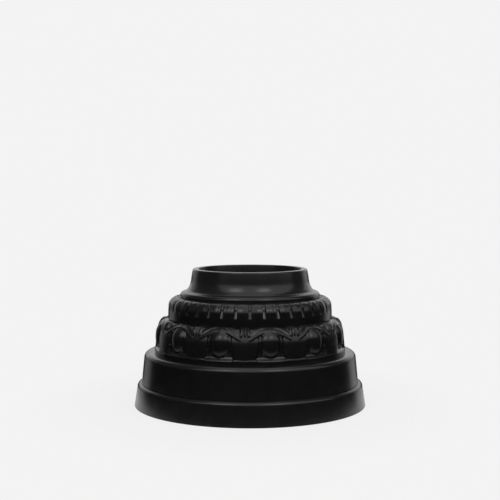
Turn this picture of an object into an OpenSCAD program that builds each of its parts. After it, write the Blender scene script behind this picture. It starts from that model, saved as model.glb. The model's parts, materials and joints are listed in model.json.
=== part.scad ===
// Hollow cast column base: a skirt and a drum, a band of eggs in their niches,
// a band of upright tongues, and a collar bored to slip over a round column.

/* [Skirt] */
// Diameter of the foot, where the base meets the ground
base_d = 320; // [310:1:420]
// Height of the skirt
skirt_h = 31; // [20:1:60]
// How far the skirt leans in on its way up
skirt_draft = 4; // [0:0.5:8]
// Radius of the skirt's rounded rim
skirt_rim_r = 5; // [2:0.5:6]

/* [Drum] */
// How far the drum stands in from the skirt's rounded rim
drum_setback = 1; // [0.5:0.5:4]
// Height of the drum
drum_h = 42; // [30:1:90]
// How far the drum leans in on its way up
drum_draft = 3.5; // [0:0.5:8]
// Radius of the drum's rounded shoulder
shoulder_r = 7; // [3:0.5:10]

/* [Egg band] */
// How far the egg band stands in from the drum's rounded shoulder
eggs_setback = 7; // [4:0.5:12]
// Height of the egg band
eggs_h = 48; // [40:1:70]
// Number of eggs round the band
egg_count = 12; // [10:1:14]
// Bearing of the first egg, in degrees round from the front of the base
egg_turn = 12; // [0:2:28]
// Depth of the grooves round the eggs
groove_depth = 6; // [3:0.5:7]
// Height of the plain lip below the eggs
lip_h = 6; // [4:0.5:8]
// Height of the leaf hood above the eggs
hood_h = 7; // [5:0.5:9]

/* [Tongue band] */
// How far the tongues stand out from the foot of the ledge
tongues_reach = 17.5; // [14:0.5:24]
// Height of the tongue band
tongues_h = 28.5; // [22:0.5:45]
// Number of tongues round the band
tongue_count = 38; // [30:1:44]
// Depth of the creases between the tongues
crease_depth = 7; // [3:0.5:8]
// Height of the tongues' domed tops
dome_h = 15; // [10:0.5:18]

/* [Ledge and collar] */
// How far the foot of the ledge stands out from the collar
ledge_reach = 15; // [12:0.5:22]
// Height of the ledge
ledge_h = 7; // [6:0.5:20]
// How far the ledge leans in on its way up
ledge_draft = 0.5; // [0:0.5:4]
// Radius of the ledge's rounded edge
ledge_edge_r = 3; // [0.5:0.5:3]
// Height of the collar
collar_h = 31; // [20:1:80]
// How far the collar leans in on its way up
collar_draft = 2; // [0:0.5:3]
// Radius of the hollow curve at the collar's foot
cove_r = 10; // [5:0.5:10]
// Radius of the collar's rounded lip
collar_lip_r = 2; // [0.5:0.5:3]
// Diameter of the bore that slips over the column
bore_d = 143; // [100:0.5:160]

/* [Casting] */
// Thickness of the skirt, the drum and the carved wall
wall = 7; // [5:0.5:9]
// Thickness of the collar's wall at its foot
collar_wall = 10; // [7:0.5:14]
// Depth of metal from the ledge's top down to the hollow, which lengthens the bore
root_h = 13; // [12:0.5:18]

/* [Hidden] */

// Heights at which the stages end, from the ground up
skirt_top = skirt_h;
drum_top = skirt_top + drum_h;
eggs_top = drum_top + eggs_h;
tongues_top = eggs_top + tongues_h;
ledge_top = tongues_top + ledge_h;
collar_top = ledge_top + collar_h;
roof = ledge_top - root_h;

// Radii of the lower stages, worked inwards from the foot
foot_r = base_d / 2;
skirt_r = foot_r - skirt_draft;
drum_foot_r = skirt_r - skirt_rim_r - drum_setback;
drum_r = drum_foot_r - drum_draft;
eggs_r = drum_r - shoulder_r - eggs_setback;

// Radii of the upper stages, worked outwards from the bore
bore_r = bore_d / 2;
collar_foot_r = bore_r + collar_wall;
collar_r = collar_foot_r - collar_draft;
ledge_foot_r = collar_foot_r + ledge_reach;
ledge_r = ledge_foot_r - ledge_draft;
tongues_r = ledge_foot_r + tongues_reach;
neck_r = tongues_r - crease_depth;

// Columns of the carved ring, five to a tongue, so that each crease falls on a column
cols_per_tongue = 5;
cols = tongue_count * cols_per_tongue;
bay = 360 / egg_count;
tongue_pitch = 360 / tongue_count;
front = -90;
turned = 180;   // segments round the turned stages
arc_steps = 6;  // segments along a rounded edge
buried = 3;     // how deep the ring's ends are sunk in the turned stages
chamfer = 3;    // slope across the hollow's inside corners

// Points along a circular arc, about a centre given as a radius and a height
function arc(r, z, size, from, to) =
    [for (i = [0:arc_steps])
        let (a = from + (to - from) * i / arc_steps)
        [r + size * cos(a), z + size * sin(a)]];

// Smooth step from 0 at lo to 1 at hi
function ramp(x, lo, hi) = let (t = max(0, min(1, (x - lo) / (hi - lo)))) t * t * (3 - 2 * t);

// ---- egg band ----
egg_foot = drum_top + lip_h;
egg_tip = eggs_top - hood_h;
egg_mid = (egg_foot + egg_tip) / 2;
egg_rise = (egg_tip - egg_foot) / 2;
egg_half = bay * 0.23;                  // half the angle that an egg spans
fullness = 2.3;                         // 2 is a true ellipse, and more fills its corners
groove_in = 1.1;                        // the groove's floor ends here, in multiples of the egg
groove_out = 1.45;                      // and here its far side has come up to the face
ovolo_mid = drum_top + eggs_h * 0.23;   // where the upright face starts to turn in
dip_depth = 0.3;                        // dip of the top edge beside a hood, as a share of the groove

// Radius of the band's uncut face: upright at the foot, then a quarter round up to the neck
function ovolo_r(z) =
    let (t = max(0, (z - ovolo_mid) / (eggs_top + 1 - ovolo_mid)))
    neck_r + (eggs_r - neck_r) * sqrt(max(0, 1 - t * t));

// Distance from an egg's middle, which is 1 all along the egg's outline
function egg_span(a, z) =
    pow(pow(abs(a) / egg_half, fullness) + pow(abs(z - egg_mid) / egg_rise, fullness), 1 / fullness);

// How deep the face is cut round an egg: 0 at the egg's crown and on the panels, 1 in the groove
function cut(span) = span < 1 ? 1 - sqrt(1 - span * span) : 1 - ramp(span, groove_in, groove_out);

// Dip between the hood over an egg and the husk beside it, along the band's top edge
function dip(a, z) = dip_depth * ramp(z, egg_tip, eggs_top - 1) * sin(180 * min(1, abs(a) / (bay * 0.4)));

function egg_band_r(a, z) = ovolo_r(z) - groove_depth * max(cut(egg_span(a, z)), dip(a, z));

egg_rows = [drum_top - buried, drum_top + 2, egg_foot - 1.5, egg_foot + 1, egg_foot + 4.5, egg_mid - 7,
            egg_mid, egg_mid + 7, egg_tip - 4.5, egg_tip - 1.5, egg_tip + 1, egg_tip + 3.5, eggs_top - 1.5];

// ---- tongue band ----
dome_drop = 2;                          // how far the domes' crowns lie below the band's top
dome_foot = tongues_top - dome_h - dome_drop;
dome_in_r = ledge_foot_r + 4;           // radius at which the domed tops run level
foot_share = 0.85;                      // how far the tongues stand out at their foot
dome_steps = [0, 0.25, 0.5, 0.72, 0.92];

// Half-round section of a tongue: 0 in the crease, 1 at its crown
function tongue(a) = sqrt(1 - pow(2 * a / tongue_pitch, 2));

// Radius and height of a dome, t of the way over it, along a line that is q of the way to the crown
function dome_point(q, t) = [
    dome_in_r + (neck_r + crease_depth * q - dome_in_r) * cos(t * 90),
    dome_foot + (dome_h - dome_drop * (1 - q)) * sin(t * 90)];

// ---- carved ring ----
// Its outside, row by row from its sunk foot to its sunk top, as a radius and a height
function outer_point(i, j) =
    let (bearing = 360 * i / cols)
    let (from_egg = (bearing - egg_turn + 360 + bay / 2) % bay - bay / 2)
    let (q = tongue((bearing + 360) % tongue_pitch - tongue_pitch / 2))
    let (k = j - len(egg_rows))
    k < 0 ? [egg_band_r(from_egg, egg_rows[j]), egg_rows[j]] :
    k == 0 ? [neck_r + crease_depth * q * foot_share, eggs_top] :
    k <= len(dome_steps) ? dome_point(q, dome_steps[k - 1]) :
    k == len(dome_steps) + 1 ? [ledge_foot_r + 1.5, tongues_top - 0.5] :
    [ledge_foot_r - buried, tongues_top + 1];

// Its inside, which follows the outside at the wall's thickness, from the top down
inner_rows = [[ledge_foot_r - buried * 2, roof + buried], [neck_r - wall, dome_foot - 2],
              [neck_r - wall, eggs_top],
              [ovolo_r(egg_tip) - groove_depth - wall + buried, egg_tip - 2],
              [ovolo_r(egg_mid) - groove_depth - wall + 2, egg_mid],
              [eggs_r - groove_depth - wall, drum_top - buried]];

outer_count = len(egg_rows) + len(dome_steps) + 3;
rows = outer_count + len(inner_rows);

function ring_point(i, j) =
    let (p = j < outer_count ? outer_point(i, j) : inner_rows[j - outer_count])
    let (bearing = front + 360 * i / cols)
    [p[0] * cos(bearing), p[0] * sin(bearing), p[1]];

// A closed skin of rows and columns that carries both carved bands
module carved_ring() {
    points = [for (i = [0:cols - 1]) for (j = [0:rows - 1]) ring_point(i, j)];
    function at(i, j) = (i % cols) * rows + j % rows;
    faces = [for (i = [0:cols - 1]) for (j = [0:rows - 1]) for (upper = [false, true])
        upper ? [at(i, j), at(i, j + 1), at(i + 1, j + 1)] : [at(i, j), at(i + 1, j + 1), at(i + 1, j)]];
    polyhedron(points, faces);
}

// Skirt and drum: one turned wall, with a flange across the drum's top that carries the ring
module lower_stages() {
    flange_r = eggs_r - groove_depth - 1;
    drum_wall_r = drum_r - wall;
    outline = concat(
        [[foot_r, 0]],
        arc(skirt_r - skirt_rim_r, skirt_top - skirt_rim_r, skirt_rim_r, 0, 90),
        [[drum_foot_r, skirt_top]],
        arc(drum_r - shoulder_r, drum_top - shoulder_r, shoulder_r, 0, 90),
        [[flange_r, drum_top], [flange_r, drum_top - wall]],
        [[drum_wall_r - chamfer, drum_top - wall], [drum_wall_r, drum_top - wall - chamfer]],
        [[drum_foot_r - wall, skirt_top - wall], [skirt_r - wall, skirt_top - wall - chamfer]],
        [[foot_r - wall, 0]]);
    rotate_extrude($fn = turned) polygon(outline);
}

// Ledge and collar: one turned block with the bore through it
module upper_stages() {
    outline = concat(
        [[bore_r, roof], [ledge_foot_r - 1, roof], [ledge_foot_r, tongues_top - 1]],
        arc(ledge_r - ledge_edge_r, ledge_top - ledge_edge_r, ledge_edge_r, 0, 90),
        arc(collar_foot_r + cove_r, ledge_top + cove_r, cove_r, 270, 180),
        arc(collar_r - collar_lip_r, collar_top - collar_lip_r, collar_lip_r, 0, 90),
        [[bore_r, collar_top]]);
    rotate_extrude($fn = turned) polygon(outline);
}

module column_base() {
    color([0.1, 0.1, 0.1])
    union() {
        lower_stages();
        upper_stages();
        carved_ring();
    }
}

column_base();
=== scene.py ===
"""Looks of a cast column base: turned stages, a band of eggs under leaf hoods and a band of tongues.

Outlines are lists of radius and height in millimetres. A carved band is made as half of one repeat,
laid flat with its front towards -Y, and then mirrored, repeated and bent to a ring.
"""
import json
from math import cos, pi, radians, sin, sqrt

import bpy
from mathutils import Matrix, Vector


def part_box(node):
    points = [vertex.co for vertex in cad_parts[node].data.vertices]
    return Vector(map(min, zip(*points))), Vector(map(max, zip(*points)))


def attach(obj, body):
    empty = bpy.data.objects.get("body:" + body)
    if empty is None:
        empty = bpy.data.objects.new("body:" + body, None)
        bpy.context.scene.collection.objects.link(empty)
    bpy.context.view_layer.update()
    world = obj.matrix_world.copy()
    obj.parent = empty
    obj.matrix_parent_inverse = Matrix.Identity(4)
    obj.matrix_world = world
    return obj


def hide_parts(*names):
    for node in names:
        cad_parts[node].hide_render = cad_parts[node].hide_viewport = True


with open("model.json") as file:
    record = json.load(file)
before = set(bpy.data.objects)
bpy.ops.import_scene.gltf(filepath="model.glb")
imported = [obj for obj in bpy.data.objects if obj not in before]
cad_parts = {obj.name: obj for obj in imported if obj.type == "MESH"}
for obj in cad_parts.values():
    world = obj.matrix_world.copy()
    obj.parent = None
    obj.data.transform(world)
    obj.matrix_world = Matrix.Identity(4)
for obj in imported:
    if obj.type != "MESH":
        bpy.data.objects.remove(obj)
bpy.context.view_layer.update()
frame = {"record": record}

MM = 0.001

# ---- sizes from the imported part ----
high_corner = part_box("column_base")[1]
mounts = {mount["name"]: mount for mount in frame["record"]["mounts"]}
bore = mounts["collar_bore"]["dims"]
foot_r = high_corner[0] / MM
collar_top = high_corner[2] / MM
bore_r = bore["r_mm"]
roof = collar_top - bore["length_mm"]       # the flat roof of the hollow, under the bored collar

# ---- turned stages: heights, radii and rounded edges ----
skirt_top = 31
drum_top = 73
skirt_r = 156
drum_foot_r = 150
drum_r = 146.5
ledge_r = 96.5
collar_r = 79.5
hollow_middle = (91.69, 178.7)              # middle of the hollow curve from the ledge to the collar
hollow_round = 10.59
hollow_tall = 2.057                         # how much taller than round the hollow curve is
skirt_round = 5
drum_round = 7
ledge_round = 4.8
ledge_round_z = 151.6                       # height of the middle of the ledge's round
lip_round = 2
bore_round = 1
wall = 7
inner_bevel = 3
turned_steps = 160                          # flats round the turned body

# ---- egg band ----
egg_count = 12
egg_turn = radians(12)                      # bearing of the first egg, to the right of the front
eggs_r = 131                                # the band is laid flat at this radius
half_bay = pi * eggs_r / egg_count
eggs_foot = 72
egg_half_sizes = (15.2, 9.2, 14)
egg_r = 123.2                               # radius and height of an egg's widest place
egg_z = 102
egg_stretch = 1.62                          # the lower half is longer than the upper by this much
egg_lean = 8.5                              # degrees that its top leans back, about the height below
egg_lean_z = 94
niche_depth = 3
reed_half_sizes = (2.3, 2.9, 7.6)
reed_lean = 37
reed_gap = 4.8

# ---- tongue band ----
tongue_count = 38
tongues_r = 110                             # the band is laid flat at this radius
half_pitch = pi * tongues_r / tongue_count
tongues_foot = 118
tongues_top = 149
tongue_face_r = 113.3
dome_r = 99.9                               # middle of the round over a tongue's top
dome_z = 135.5
dome_round = 13
crown_r = 99.8
crown_half_sizes = (14, 13.5, 14.2)
crown_drop = 16                             # the crown's lower half is drawn down by this much
groove_half = 2.2


# ---- hand tools ----
def only(obj):
    """Selects one object alone and makes it the active one."""
    bpy.ops.object.select_all(action="DESELECT")
    obj.select_set(True)
    bpy.context.view_layer.objects.active = obj


def edit(obj):
    """Opens one object in edit mode."""
    only(obj)
    bpy.ops.object.mode_set(mode="EDIT")


def leave_edit():
    bpy.ops.object.mode_set(mode="OBJECT")


def pick(obj, kind, chosen):
    """Opens an object with those vertices, edges or faces selected whose middle passes a test."""
    edit(obj)
    bpy.ops.mesh.select_mode(type=kind)
    bpy.ops.mesh.select_all(action="DESELECT")
    leave_edit()
    mesh = obj.data
    if kind == "VERT":
        for corner in mesh.vertices:
            corner.select = chosen(corner.co / MM)
    if kind == "EDGE":
        for edge in mesh.edges:
            start, end = (mesh.vertices[i].co for i in edge.vertices)
            edge.select = chosen((start + end) / 2 / MM)
    if kind == "FACE":
        for face in mesh.polygons:
            face.select = chosen(face.center / MM)
    bpy.ops.object.mode_set(mode="EDIT")


def join(parts):
    """Joins objects into the first one."""
    only(parts[0])
    for part in parts:
        part.select_set(True)
    bpy.ops.object.join()
    return parts[0]


def shape(obj, kind, **settings):
    """Adds a modifier with its settings and applies it."""
    only(obj)
    modifier = obj.modifiers.new(kind.title(), kind)
    for name, value in settings.items():
        setattr(modifier, name, value)
    bpy.ops.object.modifier_apply(modifier=modifier.name)


def weld(obj):
    """Merges doubled vertices and turns the faces outwards."""
    edit(obj)
    bpy.ops.mesh.select_all(action="SELECT")
    bpy.ops.mesh.remove_doubles(threshold=0.01 * MM)
    bpy.ops.mesh.normals_make_consistent(inside=False)
    leave_edit()


def remove(obj):
    bpy.data.objects.remove(obj, do_unlink=True)


def fix_in_place(obj):
    """Puts an object's place, turn and scale into its mesh."""
    only(obj)
    bpy.ops.object.transform_apply(location=True, rotation=True, scale=True)


def arc(r, z, size, start, end, steps=6, tall=1):
    """Points on an arc about a middle, between two angles in degrees; tall stretches it upwards."""
    angles = [radians(start + (end - start) * i / steps) for i in range(steps + 1)]
    return [(r + size * cos(a), z + size * tall * sin(a)) for a in angles]


def draw_line(name, points):
    """A chain of vertices through points in millimetres, started from one vertex and extruded on."""
    bpy.ops.mesh.primitive_plane_add(size=MM)
    line = bpy.context.object
    line.name = name
    bpy.ops.object.mode_set(mode="EDIT")
    bpy.ops.mesh.select_mode(type="VERT")
    bpy.ops.mesh.select_all(action="SELECT")
    bpy.ops.mesh.merge(type="CENTER")
    bpy.ops.transform.translate(value=Vector(points[0]) * MM)
    for start, end in zip(points, points[1:]):
        step = (Vector(end) - Vector(start)) * MM
        bpy.ops.mesh.extrude_vertices_move(TRANSFORM_OT_translate={"value": step})
    leave_edit()
    return line


def close_line(line):
    """Joins the last vertex of a drawn line to its first."""
    edit(line)
    bpy.ops.mesh.select_mode(type="VERT")
    bpy.ops.mesh.select_all(action="DESELECT")
    leave_edit()
    corners = line.data.vertices
    corners[0].select = True
    corners[len(corners) - 1].select = True
    bpy.ops.object.mode_set(mode="EDIT")
    bpy.ops.mesh.edge_face_add()
    leave_edit()


def turn_on_lathe(name, outline):
    """Spins a closed outline round the upright axis."""
    piece = draw_line(name, [(r, 0, z) for r, z in outline])
    close_line(piece)
    edit(piece)
    bpy.ops.mesh.select_all(action="SELECT")
    bpy.ops.mesh.spin(steps=turned_steps, angle=2 * pi, center=(0, 0, 0), axis=(0, 0, 1))
    leave_edit()
    weld(piece)
    return piece


def slab(name, outline, run):
    """A closed outline filled in and drawn out to a solid, along a run in millimetres."""
    piece = draw_line(name, outline)
    close_line(piece)
    edit(piece)
    bpy.ops.mesh.select_all(action="SELECT")
    bpy.ops.mesh.edge_face_add()
    bpy.ops.mesh.extrude_region_move(TRANSFORM_OT_translate={"value": Vector(run) * MM})
    leave_edit()
    weld(piece)
    return piece


def moulding(name, outline, length):
    """A straight moulding along X whose section is an outline of depth and height."""
    return slab(name, [(0, depth, z) for depth, z in outline], (length, 0, 0))


def cutter(name, outline):
    """A plate through a flat band, from an outline of x and height, to cut it with."""
    front, back = -12, 40
    return slab(name, [(x, front, z) for x, z in outline], (0, back - front, 0))


def pebble(name, middle, half_sizes, lean=0):
    """A round form of three half sizes, whose top leans back by some degrees."""
    bpy.ops.mesh.primitive_uv_sphere_add(segments=32, ring_count=20, radius=1)
    piece = bpy.context.object
    piece.name = name
    edit(piece)
    bpy.ops.mesh.select_all(action="SELECT")
    bpy.ops.transform.resize(value=[half * MM for half in half_sizes], center_override=(0, 0, 0))
    bpy.ops.transform.rotate(value=radians(lean), orient_axis="X", center_override=(0, 0, 0))
    bpy.ops.transform.translate(value=Vector(middle) * MM)
    leave_edit()
    return piece


def ridge(name, path, thickness):
    """A round ridge led by five points, each with its own radius."""
    bpy.ops.curve.primitive_nurbs_path_add()
    piece = bpy.context.object
    piece.name = name
    for point, place, radius in zip(piece.data.splines[0].points, path, thickness):
        point.co = (Vector(place) * MM).to_4d()
        point.radius = radius
    piece.data.bevel_depth = MM
    piece.data.bevel_resolution = 3
    piece.data.resolution_u = 6
    only(piece)
    bpy.ops.object.convert(target="MESH")
    return piece


# ---- turned stages ----
def turned_body():
    """Skirt, drum, ledge, collar and the hollow inside, as one turned wall."""
    outside = [(foot_r, 0)]
    outside += arc(skirt_r - skirt_round, skirt_top - skirt_round, skirt_round, 0, 90)
    outside += [(drum_foot_r, skirt_top)]
    outside += arc(drum_r - drum_round, drum_top - drum_round, drum_round, 0, 90, 8)
    behind_bands = [(124, drum_top), (124, 98), (119, 108), (108, 116.5), (104.5, 119), (104.5, 138),
                    (98, 146), (ledge_r, 146.5), (ledge_r, 148.5)]
    upper = arc(ledge_r - ledge_round, ledge_round_z, ledge_round, 0, 76, 8)
    upper += arc(*hollow_middle, hollow_round, 257.9, 187.1, 7, hollow_tall)
    upper += arc(collar_r - lip_round, collar_top - lip_round, lip_round, 0, 90)
    upper += arc(bore_r + bore_round, collar_top - bore_round, bore_round, 90, 180, 3)
    inside = [(bore_r, roof), (86, roof), (95, 139), (100, 130.5), (100, 121), (112.6, 112), (119.5, 97),
              (119.5, drum_top - wall), (drum_r - wall - inner_bevel, drum_top - wall),
              (drum_r - wall, drum_top - wall - inner_bevel), (drum_foot_r - wall, skirt_top - wall),
              (skirt_r - wall, skirt_top - wall - inner_bevel), (foot_r - wall, 0)]
    return turn_on_lathe("column_base_casting", outside + behind_bands + upper + inside)


# ---- carved bands ----
def laid_flat(outline, band_r):
    """An outline's radii as depths on a band laid flat at a radius."""
    return [(band_r - r, z) for r, z in outline]


def line_across(width, count, height):
    """A line along X in front of a pattern, whose height is a function of x."""
    clear_depth = -40
    xs = [width * i / count for i in range(count + 1)]
    return [(x, clear_depth, height(x)) for x in xs]


def cover(name, foot, top, rows, pattern):
    """A fine sheet from a foot line up to a top line, pressed back on to a carved pattern."""
    sheet = join([draw_line(name, foot), draw_line("top", top)])
    edit(sheet)
    bpy.ops.mesh.select_mode(type="EDGE")
    bpy.ops.mesh.select_all(action="SELECT")
    bpy.ops.mesh.bridge_edge_loops(number_cuts=rows, interpolation="LINEAR")
    leave_edit()
    shape(sheet, "SHRINKWRAP", target=pattern, wrap_method="PROJECT", use_project_x=False,
          use_project_y=True, use_project_z=False, use_positive_direction=True,
          use_negative_direction=False)
    return sheet


def close_back(sheet, foot_z, top, back):
    """Draws a sheet's top edge back and down through depths and heights, then joins it to the foot."""
    pick(sheet, "EDGE", lambda place: abs(place.z - top(place.x)) < 0.15)
    for depth, height in back:
        bpy.ops.mesh.extrude_edges_move()
        bpy.ops.transform.resize(value=(1, 0, 0), center_override=(0, depth * MM, height * MM))
    leave_edit()
    last_depth, last_z = back[-1]
    near = 0.01
    pick(sheet, "EDGE", lambda place: abs(place.z - foot_z) < near
         or (abs(place.y - last_depth) < near and abs(place.z - last_z) < near))
    bpy.ops.mesh.bridge_edge_loops()
    leave_edit()


def bend_round(strip, half, count, turn):
    """Mirrors half a repeat, repeats it and bends the strip to a ring about the upright axis."""
    radius = half * count / pi
    shape(strip, "MIRROR", use_axis=(True, False, False), merge_threshold=0.01 * MM)
    shape(strip, "ARRAY", count=count, use_relative_offset=False, use_constant_offset=True,
          constant_offset_displace=(2 * half * MM, 0, 0), use_merge_vertices=True,
          merge_threshold=0.01 * MM)
    edit(strip)
    bpy.ops.mesh.select_all(action="SELECT")
    bpy.ops.transform.translate(value=(turn * radius * MM, 0, 0))
    leave_edit()
    shape(strip, "SIMPLE_DEFORM", deform_method="BEND", deform_axis="Z", angle=2 * pi)
    edit(strip)
    bpy.ops.mesh.select_all(action="SELECT")
    bpy.ops.transform.translate(value=(0, -radius * MM, 0))
    leave_edit()
    weld(strip)


def carved_ring(name, pattern, half, count, turn, foot_z, top, back, across, rows, softening):
    """A closed ring of a carved pattern: covered, backed, bent round and its edges worn soft."""
    foot = line_across(half, across, lambda x: foot_z)
    ring = cover(name, foot, line_across(half, across, top), rows, pattern)
    remove(pattern)
    close_back(ring, foot_z, top, back)
    bend_round(ring, half, count, turn)
    shape(ring, "SMOOTH", factor=0.5, iterations=softening)
    return ring


# ---- egg band ----
def ovolo_r(z):
    """Radius of the band's uncut face: near upright at the foot, then a quarter round to the neck."""
    face_r, face_z, draft = 131.5, 78, 0.09
    round_z, round_height, round_depth = 98.5, 22.5, 18
    t = min(1, max(0, (z - round_z) / round_height))
    return face_r - draft * (z - face_z) - round_depth * (1 - sqrt(1 - t * t))


def under_face(x, z, sunk):
    """A place on the flat band, sunk a little under its uncut face."""
    return (x, eggs_r - ovolo_r(z) + sunk, z)


def lean_back(piece, degrees, r, z):
    """Leans a piece of the flat band back about a line along X at a radius and height."""
    edit(piece)
    bpy.ops.mesh.select_all(action="SELECT")
    bpy.ops.transform.rotate(value=radians(degrees), orient_axis="X",
                             center_override=(0, (eggs_r - r) * MM, z * MM))
    leave_edit()


def egg():
    """An egg, longer below its widest place, with its top leant back."""
    made = pebble("egg", (0, eggs_r - egg_r, egg_z), egg_half_sizes)
    pick(made, "VERT", lambda place: place.z < egg_z - 0.1)
    bpy.ops.transform.resize(value=(1, 1, egg_stretch), center_override=(0, 0, egg_z * MM))
    leave_edit()
    lean_back(made, egg_lean, egg_r, egg_lean_z)
    return made


def egg_bay():
    """Half a bay of the egg band, flat: the middle of an egg at x = 0 and of a husk at the far side."""
    length = half_bay + 2
    heights = [80 + 1.5 * i for i in range(28)]
    back_r, foot, top = 104, 70, 121.5
    face = [(129.5, foot), (129.5, 73), (131, 75), (131.8, 77.5)]
    face += [(ovolo_r(z), z) for z in heights] + [(111.5, top), (back_r, top), (back_r, foot)]
    body = moulding("band body", laid_flat(face, eggs_r), length)

    niche = cutter("niche", [(-3, 78.5), (21.5, 78.5), (20, 81), (18, 86), (16.8, 95), (16.6, 104),
                             (16, 109), (14, 113), (10, 115.5), (5, 116.6), (-3, 117)])
    shape(body, "BOOLEAN", object=niche, operation="DIFFERENCE", solver="EXACT")
    remove(niche)

    floor_line = [(131.6, foot)] + arc(133.2, 85, 6, 260, 180)
    floor_line += [(ovolo_r(z) - niche_depth, z) for z in heights if 86 < z < 117]
    floor_line += [(back_r, 119), (back_r, foot)]
    niche_floor = moulding("niche floor", laid_flat(floor_line, eggs_r), length)

    hood_ridge = ridge("hood ridge", [under_face(-3, 115.6, 0.6), under_face(7, 116.2, 0.5),
                                      under_face(15, 112.9, 0.4), under_face(21.5, 108.6, 0.4),
                                      under_face(29, 104.6, 1.2)], [2.3, 2.3, 2.4, 2.3, 1.6])
    hood_edge = ridge("hood edge", [under_face(-3, 120.2, 0.8), under_face(8, 120.5, 0.6),
                                    under_face(17, 117.9, 0.4), under_face(23, 113.6, 0.4),
                                    under_face(29.5, 108.8, 0.8)], [2.0, 2.1, 2.2, 2.2, 1.7])
    reeds = [pebble("reed", under_face(x, z, 0.5), reed_half_sizes, reed_lean)
             for x, z in ((half_bay, 114.8), (half_bay - reed_gap, 114.4))]
    return join([body, niche_floor, egg(), hood_ridge, hood_edge] + reeds)


def smooth_step(x, low, high):
    """0 below low, 1 above high and an S curve between."""
    t = max(0, min(1, (x - low) / (high - low)))
    return t * t * (3 - 2 * t)


def egg_band_top(x):
    """Height of the band's top edge: highest over an egg, dipped beside the husk."""
    dip = smooth_step(x, 10, 23) - smooth_step(x, 27, 30)
    return 120.4 - 1.6 * dip


def egg_band():
    back = laid_flat([(102.5, 119.2), (113.5, 110), (120, 100), (120, 74)], eggs_r)
    return carved_ring("egg band", egg_bay(), half_bay, egg_count, egg_turn, eggs_foot, egg_band_top,
                       back, across=34, rows=52, softening=3)


# ---- tongue band ----
def half_tongue():
    """Half a tongue, flat: its crown at x = 0 and the groove at the far side."""
    length = half_pitch + 2
    back_r, foot, top = 88, 116, 149.2
    face = [(tongue_face_r, foot), (tongue_face_r, 129.5)]
    face += arc(dome_r, dome_z, dome_round, 0, 90, 10, tall=1.06)
    face += [(94, top), (back_r, top), (back_r, foot)]
    board = moulding("band face", laid_flat(face, tongues_r), length)

    slot = cutter("groove slot", [(half_pitch + 5, 130.4), (half_pitch, 130.4), (half_pitch - 1.4, 131),
                                  (half_pitch - 2.1, 132.6), (half_pitch - groove_half, 152),
                                  (half_pitch + 5, 152)])
    shape(board, "BOOLEAN", object=slot, operation="DIFFERENCE", solver="EXACT")
    remove(slot)
    bottom = [(112.9, foot), (112.9, 131), (109.2, 139.4), (108.9, 141.8), (107.7, 144.6), (105, 147.3),
              (97, 149.3), (back_r, 149.8), (back_r, foot)]
    groove_bottom = moulding("groove bottom", laid_flat(bottom, tongues_r), length)

    crown = pebble("tongue", (0, tongues_r - crown_r, dome_z), crown_half_sizes)
    pick(crown, "VERT", lambda place: place.z < dome_z - 0.1)
    bpy.ops.transform.translate(value=(0, 0, -crown_drop * MM))
    leave_edit()
    pick(crown, "VERT", lambda place: place.x > half_pitch - groove_half)
    bpy.ops.mesh.delete(type="VERT")
    leave_edit()
    return join([board, groove_bottom, crown])


def tongue_band():
    back = laid_flat([(93, 148.4), (101, 138), (102, 120)], tongues_r)
    return carved_ring("tongue band", half_tongue(), half_pitch, tongue_count, pi / tongue_count,
                       tongues_foot, lambda x: tongues_top, back, across=12, rows=26, softening=1)


# ---- materials ----
class Value:
    """A socket of a node tree, on which Python's own operators add Math nodes."""

    def __init__(self, finish, socket):
        self.finish = finish
        self.socket = socket

    def _math(self, operation, other):
        return self.finish.node("ShaderNodeMath", {"operation": operation}, {0: self, 1: other})

    def __add__(self, other):
        return self._math("ADD", other)

    __radd__ = __add__

    def __mul__(self, other):
        return self._math("MULTIPLY", other)

    __rmul__ = __mul__


class Finish:
    """The node tree of a material or of the world."""

    def __init__(self, owner):
        owner.use_nodes = True
        self.owner = owner
        self.nodes = owner.node_tree.nodes
        self.links = owner.node_tree.links
        self.nodes.clear()

    def node(self, kind, settings=None, inputs=None, output=0):
        """Adds a node of a type with its settings, then the values and links of its sockets."""
        made = self.nodes.new(kind)
        for name, value in (settings or {}).items():
            setattr(made, name, value)
        for name, value in (inputs or {}).items():
            if isinstance(value, Value):
                self.links.new(value.socket, made.inputs[name])
            else:
                made.inputs[name].default_value = value
        return Value(self, made.outputs[output]) if made.outputs else None

    def surface(self, shader, kind="ShaderNodeOutputMaterial"):
        """Ends the tree in a shader and gives back the material or world."""
        self.node(kind, {}, {"Surface": shader})
        return self.owner


def grey(level):
    return (level, level, level, 1)


def black_paint():
    """Semi-gloss black paint over cast metal."""
    paint = Finish(bpy.data.materials.new("black_paint"))
    place = paint.node("ShaderNodeTexCoord", output="Object")
    swells = paint.node("ShaderNodeTexNoise", {}, {"Vector": place, "Scale": 60, "Detail": 2})
    grain = paint.node("ShaderNodeTexNoise", {}, {"Vector": place, "Scale": 900, "Detail": 3})
    deep, worn = (0.0078, 0.0078, 0.0083, 1), (0.0112, 0.0112, 0.0118, 1)
    colour = paint.node("ShaderNodeMix", {"data_type": "RGBA"}, {"Factor": swells, "A": deep, "B": worn},
                        "Result")
    relief = paint.node("ShaderNodeBump", {}, {"Height": swells * 0.6 + grain * 0.08, "Strength": 0.35,
                                               "Distance": 0.0006})
    return paint.surface(paint.node("ShaderNodeBsdfPrincipled", {}, {
        "Base Color": colour, "Roughness": 0.19 + swells * 0.10, "Normal": relief}))


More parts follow.
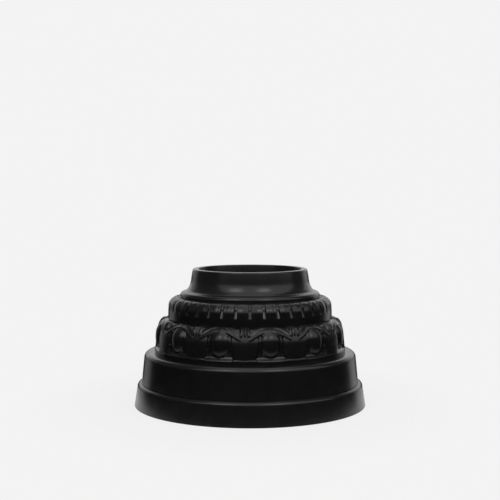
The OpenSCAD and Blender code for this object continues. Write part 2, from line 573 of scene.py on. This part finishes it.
def pale_floor():
    """The studio's floor: pale to the camera and in gloss, shadowed by the piece, faded at its edge."""
    finish = Finish(bpy.data.materials.new("pale_floor"))
    camera_ray, glossy_ray, transmission_ray = [
        finish.node("ShaderNodeLightPath", output=kind)
        for kind in ("Is Camera Ray", "Is Glossy Ray", "Is Transmission Ray")]
    seen = camera_ray + glossy_ray + transmission_ray
    lit = finish.node("ShaderNodeBsdfDiffuse", {}, {"Color": grey(0.6)})
    glow = finish.node("ShaderNodeEmission", {}, {"Color": grey(1), "Strength": 1})
    shaded = finish.node("ShaderNodeMixShader", {}, {"Fac": seen * 0.8, 1: lit, 2: glow})
    place = finish.node("ShaderNodeTexCoord", output="Object")
    reach = finish.node("ShaderNodeVectorMath", {"operation": "LENGTH"}, {0: place}, "Value")
    fade = finish.node("ShaderNodeMapRange", {"clamp": True}, {
        "Value": reach, "From Min": 0.2, "From Max": 0.335, "To Min": 0, "To Max": 1})
    gone = finish.node("ShaderNodeBsdfTransparent")
    return finish.surface(finish.node("ShaderNodeMixShader", {}, {"Fac": fade, 1: shaded, 2: gone}))


def studio_card(name, level):
    """Plain card of one grey, for what stands round the piece out of sight."""
    finish = Finish(bpy.data.materials.new(name))
    return finish.surface(finish.node("ShaderNodeBsdfDiffuse", {}, {"Color": grey(level)}))


# ---- the piece ----
casting = turned_body()
for band in (egg_band(), tongue_band()):
    shape(casting, "BOOLEAN", object=band, operation="UNION", solver="MANIFOLD")
    remove(band)
only(casting)
bpy.ops.object.shade_smooth_by_angle(angle=radians(35))
casting.data.materials.clear()
casting.data.materials.append(black_paint())
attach(casting, "root")
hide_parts("column_base")


# ---- studio, in metres ----
def stand_floor():
    """A round floor, just clear of the piece's foot."""
    bpy.ops.mesh.primitive_circle_add(vertices=96, radius=0.34, fill_type="NGON",
                                      location=(0, 0, -0.2 * MM))
    floor = bpy.context.object
    floor.name = "floor"
    fix_in_place(floor)
    floor.data.materials.append(pale_floor())


def stand_surround():
    """An open drum of dark card round the piece, with its rim high in front and low behind."""
    radius, foot, rim, rim_tilt = 1.2, -0.9, 0.325, 8.5
    bpy.ops.mesh.primitive_cylinder_add(vertices=96, radius=radius, depth=rim - foot,
                                        end_fill_type="NGON", location=(0, 0, (foot + rim) / 2))
    surround = bpy.context.object
    surround.name = "dark_surround"
    fix_in_place(surround)
    pick(surround, "FACE", lambda place: place.z * MM > rim - 0.01)
    bpy.ops.mesh.delete(type="FACE")
    leave_edit()
    pick(surround, "VERT", lambda place: place.z > 0)
    bpy.ops.transform.rotate(value=radians(rim_tilt), orient_axis="X", center_override=(0, 0, rim))
    leave_edit()
    surround.data.materials.append(studio_card("dark_card", 0.03))
    surround.visible_camera = False


def stand_card(name, x, y, width):
    """A tall grey card beside the piece, which darkens its reflections to that side."""
    height, middle = 2.9, 1.6
    bpy.ops.mesh.primitive_plane_add(size=1, location=(x, y, middle), rotation=(0, pi / 2, 0))
    card = bpy.context.object
    card.name = name
    card.scale = (height, width, 1)
    fix_in_place(card)
    card.data.materials.append(studio_card(name, 0.2))
    card.visible_camera = False


def hang_softbox(name, place, aim, width, height, watts):
    """A rectangular lamp at a place, turned to a point it aims at."""
    bpy.ops.object.light_add(type="AREA", location=place)
    lamp = bpy.context.object
    lamp.name = name
    lamp.data.shape = "RECTANGLE"
    lamp.data.size = width
    lamp.data.size_y = height
    lamp.data.energy = watts
    lamp.rotation_euler = (Vector(aim) - Vector(place)).to_track_quat("-Z", "Y").to_euler()


stand_floor()
stand_surround()
stand_card("left_card", -1.1, 0.54, 2.32)
stand_card("right_card", 1.1, 0.83, 1.74)
hang_softbox("upper_left", (-0.53, -0.96, 1.0), (0, 0, 0.12), 0.45, 0.45, 1.4)
hang_softbox("upper_right", (0.53, -0.96, 1.0), (0, 0, 0.12), 0.45, 0.45, 1.4)
hang_softbox("left", (-0.8, 0.82, 0.2), (0, 0, 0.1), 0.45, 0.8, 0.42)
hang_softbox("right", (0.8, 0.82, 0.2), (0, 0, 0.1), 0.45, 0.8, 0.65)

sky = Finish(bpy.data.worlds.new("studio"))
pale = sky.node("ShaderNodeBackground", {}, {"Color": grey(0.896)})
bpy.context.scene.world = sky.surface(pale, "ShaderNodeOutputWorld")

# ---- camera ----
camera_back, camera_height = 1.4222, 0.2929
camera_dip = 3.216                          # degrees below level
bpy.ops.object.camera_add(location=(0, -camera_back, camera_height),
                          rotation=(radians(90 - camera_dip), 0, 0))
camera = bpy.context.object
camera.data.sensor_width = 36
camera.data.lens = 74.03
bpy.context.scene.camera = camera
bpy.context.scene.view_settings.view_transform = "Standard"
